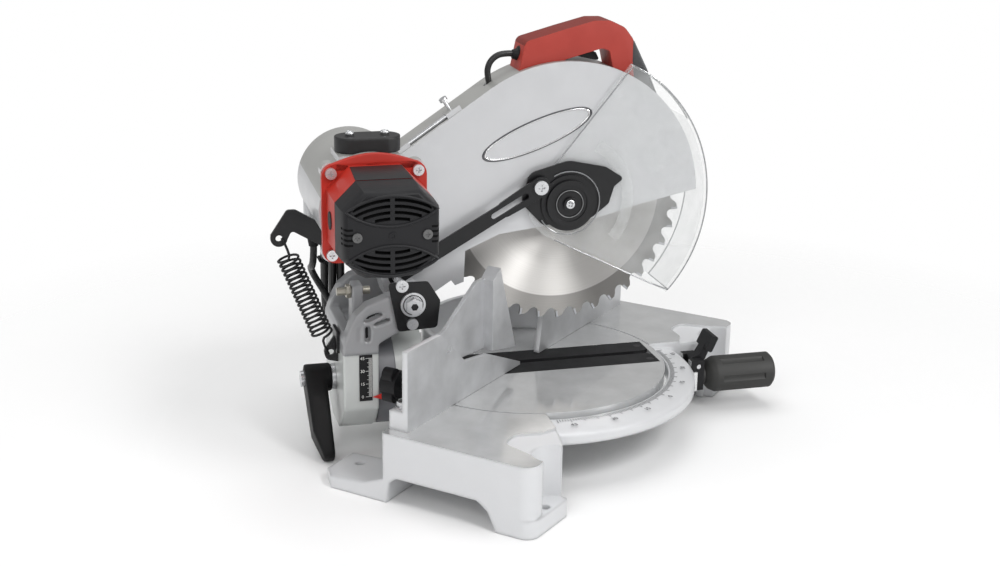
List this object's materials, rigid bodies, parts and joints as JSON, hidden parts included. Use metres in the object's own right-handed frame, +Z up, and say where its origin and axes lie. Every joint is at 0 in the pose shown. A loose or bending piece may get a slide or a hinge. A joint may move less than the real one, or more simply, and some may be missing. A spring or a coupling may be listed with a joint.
{
  "type": "mitre saw",
  "caption": "Bench mitre saw with swivelling table, tilting arm holder, spring-returned chopping head, belt-driven blade, linked clear lower guard, flip fence and fold of mains lead.",
  "frame": {"origin": "on the bench plane, at the middle of the four bolting holes", "axes": "+X to the operator's right, +Y to the rear, +Z up"},
  "size_m": [0.5282, 0.4377, 0.4144],
  "materials": {
    "base_paint": "gloss paint on a casting",
    "fence_alu": "machined",
    "table_alu": "machined",
    "zinc_steel": "zinc plated",
    "black_plastic": "moulded",
    "pointer_red": "gloss",
    "holder_paint": "satin paint on a casting",
    "scale_plate": "printed ticks",
    "black_steel": "satin",
    "stop_brass": "plated",
    "guard_paint": "satin metallic paint on a casting",
    "belt_rubber": "ribbed",
    "machined_steel": "turned",
    "motor_red": "fine texture",
    "cap_plastic": "fine texture",
    "carbon": "matt",
    "cord_rubber": "satin",
    "blade_steel": "ground",
    "clear_plastic": "clear"
  },
  "bodies": {
    "base": {"base": "base_paint", "fence": "fence_alu", "fence_bolts": "zinc_steel", "turntable_bolt": "zinc_steel", "flip_pin": "zinc_steel"},
    "flip_fence": {"flip_fence": "fence_alu"},
    "fence_knob": {"fence_knob": "black_plastic"},
    "turntable": {"turntable": "table_alu", "kerf_strips": "black_plastic", "kerf_screws": "zinc_steel", "latch_pin": "zinc_steel", "bevel_bolt": "zinc_steel", "bevel_pointer": "pointer_red"},
    "mitre_grip": {"mitre_grip": "black_plastic"},
    "mitre_latch": {"mitre_latch": "black_plastic"},
    "bevel_lever": {"bevel_lever": "black_plastic"},
    "arm_holder": {"arm_holder": "holder_paint", "bevel_scale": "scale_plate", "chop_pin": "zinc_steel", "link_plate": "black_steel", "bracket_screws": "zinc_steel", "spring_bracket": "black_steel", "stop_bolt": "stop_brass", "return_spring": "black_steel"},
    "head": {"head_arm": "guard_paint", "belt_cover": "guard_paint", "belt_cover_screws": "zinc_steel", "drive_belt": "belt_rubber", "bearings": "machined_steel", "hub_cover": "black_steel", "motor_housing": "motor_red", "motor_cap": "cap_plastic", "motor_screws": "zinc_steel", "stator": "machined_steel", "carbon_brushes": "carbon", "terminal_cover": "black_plastic", "handle_left": "motor_red", "handle_right": "motor_red", "handle_front": "cap_plastic", "switch_box": "black_plastic", "handle_lead": "cord_rubber", "guide_rod": "zinc_steel", "hook_plate": "black_steel", "cord_gland": "black_plastic", "mains_lead": "cord_rubber", "cord_hank": "cord_rubber", "plug": "black_plastic"},
    "blade": {"blade": "blade_steel", "spindle": "machined_steel", "blade_flanges": "machined_steel", "blade_bolt": "black_steel", "spindle_pulley": "machined_steel"},
    "rotor": {"rotor": "machined_steel", "motor_pulley": "machined_steel"},
    "lower_guard": {"lower_guard": "clear_plastic", "guard_plate": "black_steel", "link_pin": "zinc_steel"},
    "guard_link": {"guard_link": "black_steel"},
    "trigger": {"trigger": "black_plastic"},
    "spindle_lock": {"spindle_lock": "black_plastic"}
  },
  "joints": [
    {"name": "mitre_swivel", "type": "hinge", "parent": "base", "child": "turntable", "pos_m": [0, 0.02925, 0], "axis": [0, 0, 1], "range_deg": [-90, 0]},
    {"name": "mitre_grip_turn", "type": "hinge", "parent": "turntable", "child": "mitre_grip", "pos_m": [0.14142, -0.11217, 0.037], "axis": [-0.7071, 0.7071, 0], "range_deg": [0, 90]},
    {"name": "mitre_latch_press", "type": "hinge", "parent": "turntable", "child": "mitre_latch", "pos_m": [0.13011, -0.10086, 0.052], "axis": [0.7071, 0.7071, 0], "range_deg": [0, 12], "stiffness_Nm_per_rad": 0.4, "springref_deg": -11.46},
    {"name": "bevel_tilt", "type": "hinge", "parent": "turntable", "child": "arm_holder", "pos_m": [-0.12021, 0.14946, 0.068], "axis": [-0.7071, 0.7071, 0], "range_deg": [-9, 0]},
    {"name": "bevel_lever_turn", "type": "hinge", "parent": "turntable", "child": "bevel_lever", "pos_m": [-0.14849, 0.17774, 0.068], "axis": [-0.7071, 0.7071, 0], "range_deg": [0, 60]},
    {"name": "head_chop", "type": "hinge", "parent": "arm_holder", "child": "head", "pos_m": [-0.09334, 0.12259, 0.158], "axis": [0.7071, 0.7071, 0], "range_deg": [-19.5, 18], "stiffness_Nm_per_rad": 8, "springref_deg": -16.79, "deforming": ["return_spring"]},
    {"name": "guard_swing", "type": "hinge", "parent": "head", "child": "lower_guard", "pos_m": [0.02121, 0.00804, 0.241], "axis": [0.7071, 0.7071, 0], "range_deg": [-14.5, 14.5]},
    {"name": "link_swing", "type": "hinge", "parent": "arm_holder", "child": "guard_link", "pos_m": [-0.10076, 0.13001, 0.177], "axis": [0.7071, 0.7071, 0], "range_deg": [-21.5, 20]},
    {"name": "blade_spin", "type": "hinge", "parent": "head", "child": "blade", "pos_m": [0.02121, 0.00804, 0.241], "axis": [0.7071, 0.7071, 0], "continuous": true},
    {"name": "motor_spin", "type": "hinge", "parent": "head", "child": "rotor", "pos_m": [-0.12587, 0.15512, 0.265], "axis": [0.7071, 0.7071, 0], "continuous": true},
    {"name": "trigger_press", "type": "hinge", "parent": "head", "child": "trigger", "pos_m": [0.02687, 0.00521, 0.387], "axis": [-0.7071, -0.7071, 0], "range_deg": [0, 5], "stiffness_Nm_per_rad": 0.4, "springref_deg": -11.46},
    {"name": "spindle_lock_press", "type": "slide", "parent": "head", "child": "spindle_lock", "axis": [0, 0, -1], "range_m": [0, 0.0045], "stiffness_N_per_m": 600, "springref_m": -0.002},
    {"name": "flip_fence_swing", "type": "hinge", "parent": "base", "child": "flip_fence", "pos_m": [-0.151, 0.03725, 0.127], "axis": [0, 1, 0], "range_deg": [-38, 0]},
    {"name": "fence_knob_turn", "type": "hinge", "parent": "base", "child": "fence_knob", "pos_m": [-0.2, 0.04925, 0.103], "axis": [0, 1, 0], "range_deg": [0, 180]}
  ],
  "couplings": [
    {"joint": "guard_swing", "follows": "head_chop", "ratio": -0.72},
    {"joint": "link_swing", "follows": "head_chop", "ratio": 1.08},
    {"joint": "motor_spin", "follows": "blade_spin", "ratio": 2}
  ]
}
